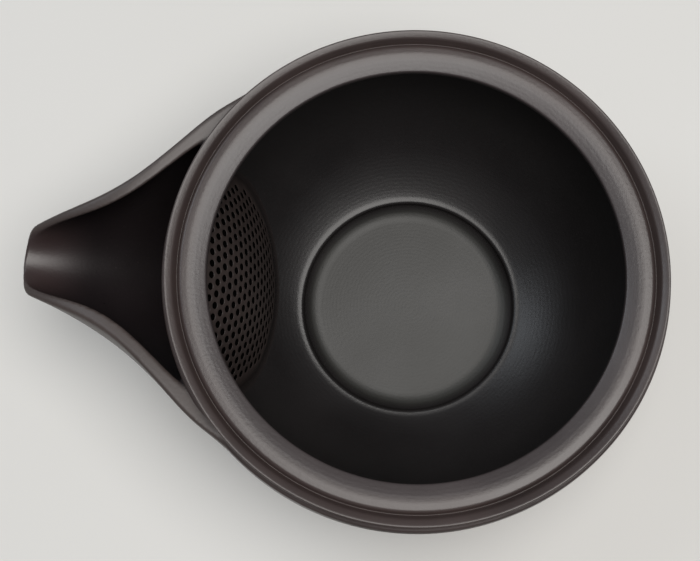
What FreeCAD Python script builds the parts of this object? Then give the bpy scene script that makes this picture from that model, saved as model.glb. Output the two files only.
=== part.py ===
"""Hohin, a handleless side-pour teapot of unglazed clay, with its lid lying beside it.

The pot's axis is Z and its foot stands at z = 0. The spout points along -X. Sizes are millimetres.
"""

import FreeCAD
import Part
import math
import os
import Sketcher

DRIVING_SIZES = {
    # Bowl, outside
    "belly_radius": 46.8,
    "belly_level": 37.5,
    "belly_curve": 37.0,
    "foot_radius": 25.3,
    "foot_land": 4.3,
    "foot_recess": 1.2,
    "foot_edge_round": 0.6,
    "clay_wall": 3.2,
    # Bowl, inside floor
    "shelf_radius": 26.6,
    "crest_radius": 22.7,
    "crest_drop": 1.6,
    "floor_inset": 1.5,
    "floor_drop": 2.75,
    "floor_fillet": 1.1,
    "crest_fillet": 1.4,
    # Mouth and lid gallery
    "rim_level": 44.5,
    "mouth_radius": 38.0,
    "mouth_land": 1.3,
    "mouth_round": 0.5,
    "ledge_underside_drop": 4.5,
    "ledge_inner_width": 1.9,
    "ledge_inner_rise": 0.7,
    "ledge_middle_width": 1.3,
    "ledge_middle_rise": 0.32,
    "ledge_outer_width": 1.75,
    "ledge_outer_rise": 0.2,
    "groove_slope_width": 0.25,
    "groove_floor_width": 0.4,
    "groove_depth": 0.6,
    "lip_face_width": 0.45,
    "lip_width": 1.45,
    "lip_rise": 2.2,
    "lip_slope_rise": 0.5,
    "lip_edge_width": 0.35,
    "lip_round": 0.3,
    "lip_skirt": 0.9,
    "shoulder_drop": 0.2,
    # Wall opening behind the strainer
    "opening_half_width": 18.0,
    "opening_bottom": 17.5,
    "opening_top": 38.0,
    "opening_corner": 8.0,
    # Spout, by evenly spaced sections from its root to its tip
    "spout_root_reach": 30.0,
    "spout_tip_reach": 75.2,
    "spout_root_wall": 3.2,
    "spout_tip_wall": 1.3,
    "spout_front_sag": 0.9,
    "spout_front_half": 4.6,
    "spout_corner_length": 2.0,
    "spout_corner_curve": 2.6,
    "edge_half_width_0": 30.5,
    "edge_half_width_1": 28.82,
    "edge_half_width_2": 22.78,
    "edge_half_width_3": 15.99,
    "edge_half_width_4": 11.45,
    "edge_half_width_5": 8.7,
    "edge_half_width_6": 6.1,
    "edge_drop_0": 0.8,
    "edge_drop_1": 0.8,
    "edge_drop_2": 0.9,
    "edge_drop_3": 1.45,
    "edge_drop_4": 2.8,
    "edge_drop_5": 5.5,
    "edge_drop_6": 9.5,
    "keel_drop_0": 33.0,
    "keel_drop_1": 31.45,
    "keel_drop_2": 28.9,
    "keel_drop_3": 25.0,
    "keel_drop_4": 20.2,
    "keel_drop_5": 15.8,
    "keel_drop_6": 12.4,
    # Strainer, a perforated cap of a sphere
    "dome_radius": 60.0,
    "dome_depth": 18.5,
    "dome_centre_level": 9.0,
    "dome_wall": 1.7,
    "strainer_turn": 1.3,
    "hole_field_rise": 7.9,
    "hole_radius": 0.68,
    "hole_pitch": 2.25,
    "hole_margin": 1.4,
    # Lid and knob
    "lid_clearance": 0.5,
    "flange_clearance": 0.9,
    "flange_height": 4.0,
    "flange_wall": 2.2,
    "lid_edge_height": 1.9,
    "lid_edge_round": 0.8,
    "lid_crown_level": 9.2,
    "lid_crown_curve": 260.0,
    "lid_hollow_level": 6.0,
    "lid_hollow_edge_level": 4.3,
    "vent_radius": 1.2,
    "vent_reach": 15.0,
    "knob_base_radius": 6.4,
    "knob_waist_radius": 5.0,
    "knob_waist_level": 3.4,
    "knob_head_radius": 8.0,
    "knob_head_level": 7.4,
    "knob_height": 10.2,
    "knob_crown_radius": 4.4,
    "lid_park_across": 4.0,
    "lid_park_forward": 99.5,
}

SPOUT_SECTIONS = 7
UP = FreeCAD.Vector(0, 0, 1)
SAME_PLACE = 0.01
ROW_ANGLE = math.radians(60)
WIDEST_HOLE_TURN = math.radians(45)


class Size:
    """A length that keeps its number and its sheet expression together."""

    def __init__(self, number, text):
        self.number = number
        self.text = text

    def __add__(self, other):
        other = as_size(other)
        return Size(self.number + other.number, f"({self.text} + {other.text})")

    def __sub__(self, other):
        other = as_size(other)
        return Size(self.number - other.number, f"({self.text} - {other.text})")

    def __mul__(self, other):
        other = as_size(other)
        return Size(self.number * other.number, f"({self.text} * {other.text})")

    def __truediv__(self, other):
        other = as_size(other)
        return Size(self.number / other.number, f"({self.text} / {other.text})")


def as_size(value):
    if isinstance(value, Size):
        return value
    return Size(float(value), repr(float(value)))


def root(size):
    return Size(math.sqrt(size.number), f"sqrt({size.text})")


def leg(longest, other):
    """The third side of a right triangle with this longest side."""
    return root(longest * longest - other * other)


def write_sheet(doc):
    """The driving sizes, one named cell each."""
    sheet = doc.addObject("Spreadsheet::Sheet", "Sizes")
    for row, (name, value) in enumerate(DRIVING_SIZES.items(), start=1):
        sheet.set(f"A{row}", name)
        sheet.set(f"B{row}", str(value))
        sheet.setAlias(f"B{row}", name)
    doc.recompute()
    return {name: Size(float(sheet.get(name)), f"Sizes.{name}") for name in DRIVING_SIZES}


def new_sketch(body, name, role, offset=None):
    """A sketch on one of the body's own origin planes, moved along the plane's normal by offset."""
    sketch = body.newObject("Sketcher::SketchObject", name)
    plane = next(item for item in body.Origin.OriginFeatures if item.Role == role)
    sketch.AttachmentSupport = [(plane, "")]
    sketch.MapMode = "FlatFace"
    if offset is not None:
        sketch.AttachmentOffset = FreeCAD.Placement(
            FreeCAD.Vector(0, 0, offset.number), FreeCAD.Rotation()
        )
        sketch.setExpression(".AttachmentOffset.Base.z", offset.text)
    return sketch


def bind(sketch, kind, places, size):
    """Adds a dimension and ties it to the sheet."""
    index = sketch.addConstraint(Sketcher.Constraint(kind, *places, size.number))
    sketch.setExpression(f"Constraints[{index}]", size.text)


def pin(sketch, edge, end, point):
    """Holds an edge's end at a place in the sketch."""
    across, up = point
    if across is None:
        sketch.addConstraint(Sketcher.Constraint("PointOnObject", edge, end, -2))
    else:
        bind(sketch, "DistanceX", (-1, 1, edge, end), across)
    if up is None:
        sketch.addConstraint(Sketcher.Constraint("PointOnObject", edge, end, -1))
    else:
        bind(sketch, "DistanceY", (-1, 1, edge, end), up)


def flat(point):
    return FreeCAD.Vector(
        0 if point[0] is None else point[0].number, 0 if point[1] is None else point[1].number, 0
    )


def round_stretch(start, finish, radius, turns_left):
    """The arc from start to finish, and whether it is stored the other way round."""
    chord = finish - start
    middle = (start + finish) * 0.5
    square = FreeCAD.Vector(-chord.y, chord.x, 0).normalize()
    height = math.sqrt(max(radius**2 - (chord.Length / 2) ** 2, 0.0))
    centre = middle + square * (height if turns_left else -height)
    first, last = (start, finish) if turns_left else (finish, start)
    angles = [math.atan2(p.y - centre.y, p.x - centre.x) for p in (first, last)]
    circle = Part.Circle(centre, UP, radius)
    return Part.ArcOfCircle(circle, angles[0], angles[1])


def draw(sketch, outline):
    """A closed outline. Each entry is a corner and the bend of the edge that leaves it.

    A bend is None for a straight edge, or a radius and "left" or "right", the way the edge turns.
    A corner on an axis has None for that coordinate.
    """
    ends = []
    count = len(outline)
    for index, (corner, bend) in enumerate(outline):
        start = flat(corner)
        finish = flat(outline[(index + 1) % count][0])
        if bend is None:
            edge = sketch.addGeometry(Part.LineSegment(start, finish), False)
            ends.append((edge, 1, 2))
        else:
            radius, way = bend
            arc = round_stretch(start, finish, radius.number, way == "left")
            edge = sketch.addGeometry(arc, False)
            ends.append((edge, 1, 2) if way == "left" else (edge, 2, 1))
    for index, (edge, _, finish_end) in enumerate(ends):
        following, start_end, _ = ends[(index + 1) % count]
        sketch.addConstraint(
            Sketcher.Constraint("Coincident", edge, finish_end, following, start_end)
        )
    for (corner, bend), (edge, start_end, _) in zip(outline, ends):
        pin(sketch, edge, start_end, corner)
        if bend is not None:
            bind(sketch, "Radius", (edge,), bend[0])


def turned_body(doc, name, outline):
    """A solid of revolution about Z, from an outline of (radius, height) corners."""
    body = doc.addObject("PartDesign::Body", name)
    sketch = new_sketch(body, f"{name}_outline", "XZ_Plane")
    draw(sketch, outline)
    turning = body.newObject("PartDesign::Revolution", f"{name}_turning")
    turning.Profile = sketch
    turning.ReferenceAxis = (sketch, ["V_Axis"])
    turning.Angle = 360.0
    doc.recompute()
    return body


def ring_edges(shape, radius, level):
    """The names of the round edges of this radius at this height."""
    names = []
    for index, edge in enumerate(shape.Edges, start=1):
        curve = edge.Curve
        if not isinstance(curve, Part.Circle):
            continue
        away = max(abs(curve.Radius - radius.number), abs(curve.Center.z - level.number))
        if away < SAME_PLACE:
            names.append(f"Edge{index}")
    return names


def round_ring(doc, body, name, radius, level, fillet):
    """Rounds one turned edge."""
    base = body.Tip
    feature = body.newObject("PartDesign::Fillet", name)
    feature.Base = (base, ring_edges(base.Shape, radius, level))
    feature.Radius = fillet.number
    feature.setExpression("Radius", fillet.text)
    body.Tip = feature
    doc.recompute()


def belly_centre(sizes):
    return sizes["belly_radius"] - sizes["belly_curve"]


def outer_radius(sizes, level):
    """The belly's outside radius at a height."""
    rise = level - sizes["belly_level"]
    return belly_centre(sizes) + leg(sizes["belly_curve"], rise)


def inner_curve(sizes):
    return sizes["belly_curve"] - sizes["clay_wall"]


def inner_radius(sizes, level):
    """The belly's inside radius at a height."""
    rise = level - sizes["belly_level"]
    return belly_centre(sizes) + leg(inner_curve(sizes), rise)


def lip_inner_radius(sizes):
    gallery = (
        sizes["ledge_inner_width"] + sizes["ledge_middle_width"] + sizes["ledge_outer_width"]
    )
    groove = sizes["groove_slope_width"] + sizes["groove_floor_width"] + sizes["lip_face_width"]
    return sizes["mouth_radius"] + gallery + groove


def bowl_outside(doc, sizes):
    """The bowl as a filled solid: foot, belly, shoulder and the outside of the lip."""
    lip_top = sizes["rim_level"] + sizes["lip_rise"]
    lip_outer = lip_inner_radius(sizes) + sizes["lip_width"]
    lip_foot = sizes["rim_level"] - sizes["lip_skirt"]
    shoulder = lip_foot - sizes["shoulder_drop"]
    foot_inner = sizes["foot_radius"] - sizes["foot_land"]
    foot_out = sizes["foot_radius"] - belly_centre(sizes)
    foot_top = sizes["belly_level"] - leg(sizes["belly_curve"], foot_out)
    body = turned_body(
        doc,
        "bowl_outside",
        [
            ((None, sizes["foot_recess"]), None),
            ((foot_inner, sizes["foot_recess"]), None),
            ((foot_inner, None), None),
            ((sizes["foot_radius"], None), None),
            ((sizes["foot_radius"], foot_top), (sizes["belly_curve"], "left")),
            ((outer_radius(sizes, shoulder), shoulder), None),
            ((lip_outer, lip_foot), None),
            ((lip_outer, lip_top), None),
            ((None, lip_top), None),
        ],
    )
    ground = as_size(0)
    foot_round = sizes["foot_edge_round"]
    round_ring(doc, body, "foot_inner_edge", foot_inner, ground, foot_round)
    round_ring(doc, body, "foot_outer_edge", sizes["foot_radius"], ground, foot_round)
    round_ring(doc, body, "lip_outer_edge", lip_outer, lip_top, sizes["lip_round"])
    return body


def bowl_inside(doc, sizes):
    """The space in the bowl: recessed floor, shelf round it, belly, mouth and lid gallery."""
    rim = sizes["rim_level"]
    mouth = sizes["mouth_radius"]
    above = rim + sizes["lip_rise"] * 2
    shelf_out = sizes["shelf_radius"] - belly_centre(sizes)
    shelf_level = sizes["belly_level"] - leg(inner_curve(sizes), shelf_out)
    crest_level = shelf_level - sizes["crest_drop"]
    floor_level = crest_level - sizes["floor_drop"]
    floor_radius = sizes["crest_radius"] - sizes["floor_inset"]
    underside = rim - sizes["ledge_underside_drop"]
    break_radius = mouth + sizes["ledge_inner_width"]
    break_level = rim + sizes["ledge_inner_rise"]
    bend_radius = break_radius + sizes["ledge_middle_width"]
    bend_level = break_level + sizes["ledge_middle_rise"]
    ledge_end = bend_radius + sizes["ledge_outer_width"]
    ledge_level = bend_level + sizes["ledge_outer_rise"]
    groove_level = ledge_level - sizes["groove_depth"]
    groove_start = ledge_end + sizes["groove_slope_width"]
    groove_end = groove_start + sizes["groove_floor_width"]
    lip_inner = lip_inner_radius(sizes)
    lip_edge = lip_inner + sizes["lip_width"] - sizes["lip_edge_width"]
    lip_top = rim + sizes["lip_rise"]
    body = turned_body(
        doc,
        "bowl_inside",
        [
            ((None, floor_level), None),
            ((floor_radius, floor_level), None),
            ((sizes["crest_radius"], crest_level), None),
            ((sizes["shelf_radius"], shelf_level), (inner_curve(sizes), "left")),
            ((inner_radius(sizes, underside), underside), None),
            ((mouth, rim - sizes["mouth_land"]), None),
            ((mouth, rim), None),
            ((break_radius, break_level), None),
            ((bend_radius, bend_level), None),
            ((ledge_end, ledge_level), None),
            ((groove_start, groove_level), None),
            ((groove_end, groove_level), None),
            ((lip_inner, lip_top - sizes["lip_slope_rise"]), None),
            ((lip_edge, lip_top), None),
            ((lip_edge, above), None),
            ((None, above), None),
        ],
    )
    round_ring(doc, body, "floor_edge", floor_radius, floor_level, sizes["floor_fillet"])
    round_ring(
        doc, body, "crest_edge", sizes["crest_radius"], crest_level, sizes["crest_fillet"]
    )
    round_ring(doc, body, "mouth_edge", mouth, rim, sizes["mouth_round"])
    return body


def wall_opening(doc, sizes):
    """The cut through the bowl's wall that the strainer covers: a rounded rectangle along -X."""
    half = sizes["opening_half_width"]
    low = sizes["opening_bottom"]
    high = sizes["opening_top"]
    corner = sizes["opening_corner"]
    body = doc.addObject("PartDesign::Body", "wall_opening")
    sketch = new_sketch(body, "opening_outline", "YZ_Plane")
    minus = as_size(0) - half
    draw(
        sketch,
        [
            ((minus + corner, low), None),
            ((half - corner, low), (corner, "left")),
            ((half, low + corner), None),
            ((half, high - corner), (corner, "left")),
            ((half - corner, high), None),
            ((minus + corner, high), (corner, "left")),
            ((minus, high - corner), None),
            ((minus, low + corner), (corner, "left")),
        ],
    )
    pad = body.newObject("PartDesign::Pad", "opening_cut")
    pad.Profile = sketch
    pad.Length = sizes["belly_radius"].number
    pad.setExpression("Length", sizes["belly_radius"].text)
    pad.Reversed = True
    doc.recompute()
    return body


def boolean(doc, kind, name, base, tool):
    """A Part::Cut or Part::Common of two objects."""
    result = doc.addObject(kind, name)
    result.Base = base
    result.Tool = tool
    doc.recompute()
    return result


def section_values(sizes, index):
    """One spout section: its distance from the axis, edge, keel and wall."""
    share = index / (SPOUT_SECTIONS - 1)
    reach = sizes["spout_root_reach"] + (
        sizes["spout_tip_reach"] - sizes["spout_root_reach"]
    ) * as_size(share)
    wall = sizes["spout_root_wall"] + (
        sizes["spout_tip_wall"] - sizes["spout_root_wall"]
    ) * as_size(share)
    half = sizes[f"edge_half_width_{index}"]
    edge = sizes["rim_level"] - sizes[f"edge_drop_{index}"]
    keel = sizes["rim_level"] - sizes[f"keel_drop_{index}"]
    depth = edge - keel
    curve = (half * half + depth * depth) / (depth * 2)
    return reach, wall, half, edge, keel, curve


def draw_shell(sketch, half, edge, keel, curve):
    """The outside of a section: two round sides that meet at the keel, closed along the edge."""
    minus = as_size(0) - half
    draw(
        sketch,
        [
            ((None, keel), (curve, "left")),
            ((half, edge), None),
            ((minus, edge), (curve, "left")),
        ],
    )


def draw_channel(sketch, half, edge, keel, curve, cap):
    """The space inside a section: round below, with straight sides above the edge."""
    top = edge + cap
    minus = as_size(0) - half
    draw(
        sketch,
        [
            ((None, keel), (curve, "left")),
            ((half, edge), None),
            ((half, top), None),
            ((minus, top), None),
            ((minus, edge), (curve, "left")),
        ],
    )


def chute_loft(doc, body, kind, name, sketches):
    loft = body.newObject(kind, name)
    loft.Profile = sketches[0]
    loft.Sections = sketches[1:]
    body.Tip = loft
    doc.recompute()
    return loft


def spout_chute(doc, sizes):
    """The open chute, from inside the bowl's wall to its tip."""
    body = doc.addObject("PartDesign::Body", "spout_chute")
    shells = []
    channels = []
    cap = sizes["spout_root_wall"]
    for index in range(SPOUT_SECTIONS):
        reach, wall, half, edge, keel, curve = section_values(sizes, index)
        place = as_size(0) - reach
        shell = new_sketch(body, f"shell_{index}", "YZ_Plane", place)
        draw_shell(shell, half, edge, keel, curve)
        shells.append(shell)
        inner_curve_radius = curve - wall
        centre_drop = edge - keel - curve
        inner_half = leg(inner_curve_radius, centre_drop)
        channel = new_sketch(body, f"channel_{index}", "YZ_Plane", place)
        draw_channel(channel, inner_half, edge, keel + wall, inner_curve_radius, cap)
        channels.append(channel)
    chute_loft(doc, body, "PartDesign::AdditiveLoft", "shell", shells)
    chute_loft(doc, body, "PartDesign::SubtractiveLoft", "channel", channels)
    trim_tip(doc, body, sizes)
    return body


def trim_tip(doc, body, sizes):
    """Cuts the tip to its plan shape: a front edge that bows out, with rounded corners."""
    nothing = as_size(0)
    tip = nothing - sizes["spout_tip_reach"]
    sag = sizes["spout_front_sag"]
    front_half = sizes["spout_front_half"]
    front_curve = (front_half * front_half + sag * sag) / (sag * 2)
    corner_curve = sizes["spout_corner_curve"]
    back = sag + sizes["spout_corner_length"]
    last = SPOUT_SECTIONS - 1
    tip_half = sizes[f"edge_half_width_{last}"]
    spacing = (sizes["spout_tip_reach"] - sizes["spout_root_reach"]) / last
    flare = (sizes[f"edge_half_width_{last - 1}"] - tip_half) / spacing
    half = tip_half + flare * back
    clear = half * 2
    sketch = new_sketch(body, "tip_outline", "XY_Plane")
    draw(
        sketch,
        [
            ((tip - sag, clear), None),
            ((tip + back, clear), None),
            ((tip + back, half), (corner_curve, "left")),
            ((tip + sag, front_half), (front_curve, "left")),
            ((tip + sag, nothing - front_half), (corner_curve, "left")),
            ((tip + back, nothing - half), None),
            ((tip + back, nothing - clear), None),
            ((tip - sag, nothing - clear), None),
        ],
    )
    trim = body.newObject("PartDesign::Pocket", "tip_trim")
    trim.Profile = sketch
    trim.Type = "ThroughAll"
    trim.Reversed = True
    body.Tip = trim
    doc.recompute()


def dome_reach(sizes):
    """How far the dome's centre lies beyond the pot's axis, on the spout's side."""
    return sizes["belly_radius"] - sizes["dome_depth"] + sizes["dome_radius"]


def hole_centres(sizes):
    """Directions of the strainer's holes from the dome's centre, in staggered rows."""
    radius = sizes["dome_radius"].number
    pitch = sizes["hole_pitch"].number
    row_step = pitch * math.sin(ROW_ANGLE)
    wall = sizes["dome_wall"].number
    level = sizes["dome_centre_level"].number
    reach = dome_reach(sizes).number
    top = (sizes["rim_level"] - sizes["mouth_land"]).number
    margin = sizes["hole_margin"].number + sizes["hole_radius"].number
    middle = math.radians(sizes["hole_field_rise"].number)
    directions = []
    rows = int(radius / row_step)
    columns = int(radius / pitch)
    for row in range(-rows, rows + 1):
        for column in range(-columns, columns + 1):
            across = (column + 0.5 * (row % 2)) * pitch
            up = row * row_step
            turn = math.hypot(across, up) / radius
            if turn > WIDEST_HOLE_TURN:
                continue
            bearing = math.atan2(up, across)
            side = math.sin(turn) * math.cos(bearing)
            lift = math.sin(turn) * math.sin(bearing)
            ahead = math.cos(turn)
            direction = FreeCAD.Vector(
                ahead * math.cos(middle) - lift * math.sin(middle),
                side,
                ahead * math.sin(middle) + lift * math.cos(middle),
            )
            spot = FreeCAD.Vector(-reach, 0, level) + direction * (radius - wall / 2)
            if fits_on_dome(sizes, spot, top, margin):
                directions.append(direction)
    return directions


def fits_on_dome(sizes, spot, top, margin):
    """Whether a hole here keeps its margin from the bowl's wall, the ledge and the floor."""
    curve = inner_curve(sizes).number
    rise = spot.z - sizes["belly_level"].number
    if abs(rise) >= curve or spot.z > top - margin:
        return False
    wall_radius = belly_centre(sizes).number + math.sqrt(curve**2 - rise**2)
    slope = math.sqrt(curve**2 - rise**2) / curve
    return (wall_radius - math.hypot(spot.x, spot.y)) * slope > margin


def strainer_dome(doc, sizes):
    """The thin dome: the shell between two spheres, before it is trimmed to the bowl."""
    reach = as_size(0) - dome_reach(sizes)
    spheres = []
    for name, radius in (
        ("dome_outside", sizes["dome_radius"]),
        ("dome_inside", sizes["dome_radius"] - sizes["dome_wall"]),
    ):
        sphere = doc.addObject("Part::Sphere", name)
        sphere.Radius = radius.number
        sphere.setExpression("Radius", radius.text)
        sphere.Placement = FreeCAD.Placement(
            FreeCAD.Vector(reach.number, 0, sizes["dome_centre_level"].number), FreeCAD.Rotation()
        )
        sphere.setExpression(".Placement.Base.x", reach.text)
        sphere.setExpression(".Placement.Base.z", sizes["dome_centre_level"].text)
        spheres.append(sphere)
    return boolean(doc, "Part::Cut", "dome_shell", spheres[0], spheres[1])


def below_ledge(doc, sizes):
    """The room under the lid's ledge, which the dome may fill."""
    room = doc.addObject("Part::Cylinder", "room_below_ledge")
    height = sizes["rim_level"] - sizes["mouth_land"]
    room.Radius = sizes["belly_radius"].number
    room.setExpression("Radius", sizes["belly_radius"].text)
    room.Height = height.number
    room.setExpression("Height", height.text)
    return room


def strainer_holes(doc, sizes):
    """One pin per hole, square to the dome, standing one wall proud of it on both sides."""
    centre = FreeCAD.Vector(-dome_reach(sizes).number, 0, sizes["dome_centre_level"].number)
    outside = sizes["dome_radius"].number
    wall = sizes["dome_wall"].number
    lowest = outside - wall - wall
    highest = outside + wall
    pins = []
    for direction in hole_centres(sizes):
        start = centre + direction * lowest
        pin_length = highest - lowest
        pins.append(Part.makeCylinder(sizes["hole_radius"].number, pin_length, start, direction))
    holes = doc.addObject("Part::Feature", "strainer_holes")
    holes.Shape = Part.makeCompound(pins)
    return holes


def lid_disc(doc, sizes):
    """The lid, standing on its flange: flange, underside, edge and low crown."""
    flange_outer = sizes["mouth_radius"] - sizes["flange_clearance"]
    flange_inner = flange_outer - sizes["flange_wall"]
    seat = sizes["flange_height"]
    edge_radius = lip_inner_radius(sizes) - sizes["lid_clearance"]
    edge_top = seat + sizes["lid_edge_height"]
    crown = sizes["lid_crown_level"]
    pad = sizes["knob_head_radius"]
    body = turned_body(
        doc,
        "lid_turning",
        [
            ((flange_inner, None), None),
            ((flange_outer, None), None),
            ((flange_outer, seat), None),
            ((edge_radius, seat), None),
            ((edge_radius, edge_top), (sizes["lid_crown_curve"], "left")),
            ((pad, crown), None),
            ((None, crown), None),
            ((None, sizes["lid_hollow_level"]), None),
            ((flange_inner, sizes["lid_hollow_edge_level"]), None),
        ],
    )
    round_ring(doc, body, "lid_edge", edge_radius, edge_top, sizes["lid_edge_round"])
    vent = body.newObject("PartDesign::Pocket", "vent")
    sketch = new_sketch(body, "vent_outline", "XY_Plane")
    circle = sketch.addGeometry(
        Part.Circle(
            FreeCAD.Vector(sizes["vent_reach"].number, 0, 0), UP, sizes["vent_radius"].number
        ),
        False,
    )
    pin(sketch, circle, 3, (sizes["vent_reach"], None))
    bind(sketch, "Radius", (circle,), sizes["vent_radius"])
    vent.Profile = sketch
    vent.Type = "ThroughAll"
    vent.Reversed = True
    body.Tip = vent
    doc.recompute()
    return body


def lid_button(doc, sizes):
    """The knob, with its foot at z = 0: waist, flared head and rounded crown."""
    base = sizes["knob_base_radius"]
    waist = sizes["knob_waist_radius"]
    head = sizes["knob_head_radius"]
    crown = sizes["knob_crown_radius"]
    flare = (head - waist) + (sizes["knob_head_level"] - sizes["knob_waist_level"])
    shoulder = (head - crown) + (sizes["knob_height"] - sizes["knob_head_level"])
    return turned_body(
        doc,
        "knob_turning",
        [
            ((None, None), None),
            ((base, None), (flare, "right")),
            ((waist, sizes["knob_waist_level"]), (flare, "right")),
            ((head, sizes["knob_head_level"]), (shoulder, "left")),
            ((crown, sizes["knob_height"]), None),
            ((None, sizes["knob_height"]), None),
        ],
    )


def build_pot(doc, sizes):
    """Bowl, spout and strainer, each trimmed by the same bowl outlines."""
    outside = bowl_outside(doc, sizes)
    inside = bowl_inside(doc, sizes)
    shell = boolean(doc, "Part::Cut", "bowl_shell", outside, inside)
    pot_body = boolean(doc, "Part::Cut", "pot_body", shell, wall_opening(doc, sizes))
    spout = boolean(doc, "Part::Cut", "spout", spout_chute(doc, sizes), outside)
    below = boolean(
        doc, "Part::Common", "dome_below_ledge", strainer_dome(doc, sizes), below_ledge(doc, sizes)
    )
    trimmed = boolean(doc, "Part::Common", "dome_trimmed", below, inside)
    strainer = boolean(doc, "Part::Cut", "strainer", trimmed, strainer_holes(doc, sizes))
    turn = sizes["strainer_turn"]
    strainer.Placement = FreeCAD.Placement(FreeCAD.Vector(), FreeCAD.Rotation(UP, turn.number))
    strainer.setExpression(".Placement.Rotation.Angle", turn.text)
    return [pot_body, spout, strainer]


def build_lid(doc, sizes):
    """Lid and knob, lying beside the pot."""
    lid = lid_disc(doc, sizes)
    knob = lid_button(doc, sizes)
    across = sizes["lid_park_across"]
    forward = as_size(0) - sizes["lid_park_forward"]
    for part, label, level in ((lid, "lid", as_size(0)), (knob, "lid_knob", sizes["lid_crown_level"])):
        part.Label = label
        part.Placement = FreeCAD.Placement(
            FreeCAD.Vector(across.number, forward.number, level.number), FreeCAD.Rotation()
        )
        part.setExpression(".Placement.Base.x", across.text)
        part.setExpression(".Placement.Base.y", forward.text)
        part.setExpression(".Placement.Base.z", level.text)
    doc.recompute()
    return [lid, knob]


def check(doc, parts):
    """Stops if any object failed or a part isn't sound."""
    for item in doc.Objects:
        if {"Invalid", "Error"} & set(item.State):
            raise RuntimeError(f"{item.Label} failed: {item.State}")
    for part in parts:
        if part.Shape.isNull() or not part.Shape.isValid():
            raise RuntimeError(f"{part.Label} has no valid shape")
        solids = len(part.Shape.Solids)
        if solids != 1:
            raise RuntimeError(f"{part.Label} has {solids} solids")


def main():
    doc = FreeCAD.newDocument("hohin")
    sizes = write_sheet(doc)
    parts = build_pot(doc, sizes) + build_lid(doc, sizes)
    doc.recompute()
    check(doc, parts)
    os.makedirs("parts", exist_ok=True)
    for part in parts:
        part.Shape.exportStep(f"parts/{part.Label}.step")
        print(part.Label, "volume", round(part.Shape.Volume, 1))


main()
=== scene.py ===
"""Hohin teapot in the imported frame: finished clay surfaces, table, light and camera."""

import math

import bmesh
import bpy
import numpy as np
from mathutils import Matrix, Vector, geometry


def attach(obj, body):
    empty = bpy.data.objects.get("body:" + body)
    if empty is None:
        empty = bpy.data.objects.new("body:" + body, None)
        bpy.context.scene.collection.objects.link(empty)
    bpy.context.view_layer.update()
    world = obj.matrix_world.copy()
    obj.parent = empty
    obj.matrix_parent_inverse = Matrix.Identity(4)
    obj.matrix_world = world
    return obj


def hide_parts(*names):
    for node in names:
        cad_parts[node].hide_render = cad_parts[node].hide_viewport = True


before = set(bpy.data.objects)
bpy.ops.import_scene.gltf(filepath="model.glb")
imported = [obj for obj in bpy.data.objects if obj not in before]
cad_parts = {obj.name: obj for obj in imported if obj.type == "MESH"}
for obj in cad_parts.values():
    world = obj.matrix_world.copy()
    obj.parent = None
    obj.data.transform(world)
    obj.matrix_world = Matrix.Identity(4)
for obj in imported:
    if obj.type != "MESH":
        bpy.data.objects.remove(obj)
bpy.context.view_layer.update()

MM = 0.001
TURN_STEPS = 360

# Sizes in millimetres. Those of the solids are the part's own, and those that only the
# finished surface has say so
BELLY_RADIUS = 46.8
BELLY_LEVEL = 37.5
BELLY_CURVE = 37.0
CLAY_WALL = 3.2
FOOT_RADIUS = 25.3
FOOT_LAND = 4.3
FOOT_RECESS = 1.2
SHELF_RADIUS = 26.6
CREST_RADIUS = 22.7
CREST_DROP = 1.6
CREST_WIDTH = 0.9  # finished surface
FLOOR_INSET = 1.5
FLOOR_DROP = 2.75
RIM_LEVEL = 44.5
MOUTH_RADIUS = 38.0
LEDGE = ((39.9, 45.2), (41.2, 45.52), (42.8, 45.52))  # finished surface, as all to LIP_EDGE
GROOVE = (43.35, 44.6)
LIP_INNER = (43.95, 46.15)
LIP_EDGE = 45.15
LIP_OUTER = 45.5
LIP_TOP = 46.7
LIP_FOOT = 43.6
SHOULDER = 43.4
OPENING_HALF = 18.0
OPENING_BOTTOM = 17.5
OPENING_TOP = 38.0
OPENING_CORNER = 8.0
SPOUT_ROOT = 30.0
SPOUT_TIP = 75.2
SPOUT_ROOT_WALL = 3.2
SPOUT_TIP_WALL = 1.3
SPOUT_FRONT_CURVE = 12.2
FRONT_ROUND = 0.6
EDGE_ROUND = 0.7
EDGE_SLOPE = 0.16
EDGE_SWELL = 1.9  # how far the edge is thickened into the channel, and how it fades
SWELL_LEAN = 0.15
SWELL_LEAN_REACH = 5.0
SWELL_START = 0.08
SWELL_RUN = 0.18
SWELL_MOST = 0.9
SWELL_DEPTH = 7.0
SEAM_OUTSIDE = 4.6  # the slip seam's softness, less SEAM_LOSS in the channel
SEAM_LOSS = 3.0
SEAM_START = 2.2
SEAM_RUN = 1.2
SEAM_REACH = 0.4
SKIN_SUNK = 0.07
SKIN_SUNK_AT_LIP = 0.1
SKIN_DEPTH = 0.9
SKIN_INSIDE_LIP = 0.5
OPENING_REACH = 0.8
CHANNEL_CLEAR = 0.25
SPOUT_NET_LOW = (-76.4, -36.0, 8.0)
SPOUT_NET_HIGH = (-27.0, 36.0, 47.0)
SPOUT_NET_PITCH = 0.42
EDGE_HALF_WIDTHS = (30.5, 28.82, 22.78, 15.99, 11.45, 8.7, 6.1)
EDGE_DROPS = (0.8, 0.8, 0.9, 1.45, 2.8, 5.5, 9.5)
KEEL_DROPS = (33.0, 31.45, 28.9, 25.0, 20.2, 15.8, 12.4)
DOME_RADIUS = 60.0
DOME_REACH = 88.3
DOME_LEVEL = 9.0
DOME_WALL = 1.7
DOME_TOP = 43.2
STRAINER_TURN = 1.3
HOLE_RADIUS = 0.68
HOLE_PITCH = 2.25
HOLE_MARGIN = 1.4
HOLE_FIELD_RISE = 7.9
LID_PLACE = (4.0, -99.5)
VENT_PLACE = 15.0
VENT_RADIUS = 1.2
KNOB_BASE = 9.2

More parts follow.
